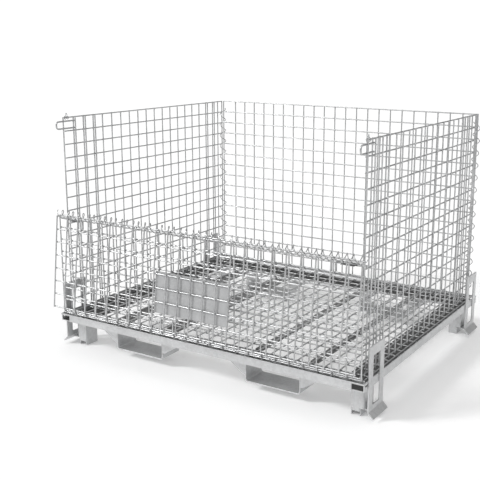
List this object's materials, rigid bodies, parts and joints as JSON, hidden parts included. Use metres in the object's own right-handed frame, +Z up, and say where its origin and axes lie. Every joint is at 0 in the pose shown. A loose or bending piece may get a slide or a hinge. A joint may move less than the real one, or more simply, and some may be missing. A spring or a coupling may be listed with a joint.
{
  "type": "wire mesh container",
  "caption": "Stackable collapsible zinc-plated wire mesh container with a half-height drop gate, folding sides, fork pockets, feet and stacking guides.",
  "frame": {"origin": "centre of the bounding box, on the ground under the feet", "axes": "+Z up; -Y is the gate side; +X is the container's right-hand side as its gate side is faced, and runs along the gate"},
  "size_m": [1.2762, 1.072, 0.866],
  "materials": {
    "zinc_sheet": "bright zinc-plated pressed sheet, satin",
    "zinc_mesh": "bright zinc-plated welded wire mesh, satin",
    "zinc_wire": "bright zinc-plated round wire, satin",
    "label_sheet": "plain zinc-plated sheet, matt"
  },
  "bodies": {
    "base": {"front_rail": "zinc_sheet", "rear_rail": "zinc_sheet", "left_rail": "zinc_sheet", "right_rail": "zinc_sheet", "left_inner_joist": "zinc_sheet", "left_outer_joist": "zinc_sheet", "right_inner_joist": "zinc_sheet", "right_outer_joist": "zinc_sheet", "floor_mesh": "zinc_mesh", "back_wall": "zinc_mesh", "lower_front_panel": "zinc_mesh", "front_anchor_wire": "zinc_wire", "rear_anchor_wire": "zinc_wire", "front_base_spiral": "zinc_wire", "rear_base_spiral": "zinc_wire", "left_corner_spiral": "zinc_wire", "right_corner_spiral": "zinc_wire", "gate_spiral": "zinc_wire", "front_left_foot": "zinc_sheet", "front_left_fork_pocket": "zinc_sheet", "front_left_inner_gusset": "zinc_sheet", "front_left_outer_gusset": "zinc_sheet", "front_left_guide_plate": "zinc_sheet", "front_left_guide_shelf": "zinc_sheet", "front_right_foot": "zinc_sheet", "front_right_fork_pocket": "zinc_sheet", "front_right_inner_gusset": "zinc_sheet", "front_right_outer_gusset": "zinc_sheet", "front_right_guide_plate": "zinc_sheet", "front_right_guide_shelf": "zinc_sheet", "rear_left_foot": "zinc_sheet", "rear_left_fork_pocket": "zinc_sheet", "rear_left_inner_gusset": "zinc_sheet", "rear_left_outer_gusset": "zinc_sheet", "rear_left_guide_plate": "zinc_sheet", "rear_left_guide_shelf": "zinc_sheet", "rear_right_foot": "zinc_sheet", "rear_right_fork_pocket": "zinc_sheet", "rear_right_inner_gusset": "zinc_sheet", "rear_right_outer_gusset": "zinc_sheet", "rear_right_guide_plate": "zinc_sheet", "rear_right_guide_shelf": "zinc_sheet", "left_bolt_strap": "zinc_sheet", "right_bolt_strap": "zinc_sheet"},
    "gate": {"drop_gate": "zinc_mesh", "label_plate": "label_sheet"},
    "left_wall": {"left_wall": "zinc_mesh", "left_lock_loop": "zinc_wire"},
    "right_wall": {"right_wall": "zinc_mesh", "right_lock_loop": "zinc_wire"},
    "left_clip": {"left_gate_clip": "zinc_wire"},
    "right_clip": {"right_gate_clip": "zinc_wire"},
    "left_bolt": {"left_bolt": "zinc_wire"},
    "right_bolt": {"right_bolt": "zinc_wire"}
  },
  "joints": [
    {"name": "gate_hinge", "type": "hinge", "parent": "base", "child": "gate", "pos_m": [0, -0.48799, 0.5055], "axis": [-1, 0, 0], "range_deg": [0, 173.4]},
    {"name": "left_wall_swing", "type": "hinge", "parent": "base", "child": "left_wall", "pos_m": [-0.586, 0.50551, 0.5], "axis": [0, 0, 1], "range_deg": [0, 90]},
    {"name": "right_wall_swing", "type": "hinge", "parent": "base", "child": "right_wall", "pos_m": [0.586, 0.50551, 0.5], "axis": [0, 0, -1], "range_deg": [0, 82]},
    {"name": "left_bolt_slide", "type": "slide", "parent": "base", "child": "left_bolt", "axis": [1, 0, 0], "range_m": [0, 0.035]},
    {"name": "right_bolt_slide", "type": "slide", "parent": "base", "child": "right_bolt", "axis": [-1, 0, 0], "range_m": [0, 0.035]},
    {"name": "left_clip_turn", "type": "hinge", "parent": "left_wall", "child": "left_clip", "pos_m": [-0.586, -0.44899, 0.847], "axis": [0, -1, 0], "range_deg": [0, 90]},
    {"name": "right_clip_turn", "type": "hinge", "parent": "right_wall", "child": "right_clip", "pos_m": [0.586, -0.44899, 0.847], "axis": [0, 1, 0], "range_deg": [0, 90]}
  ]
}
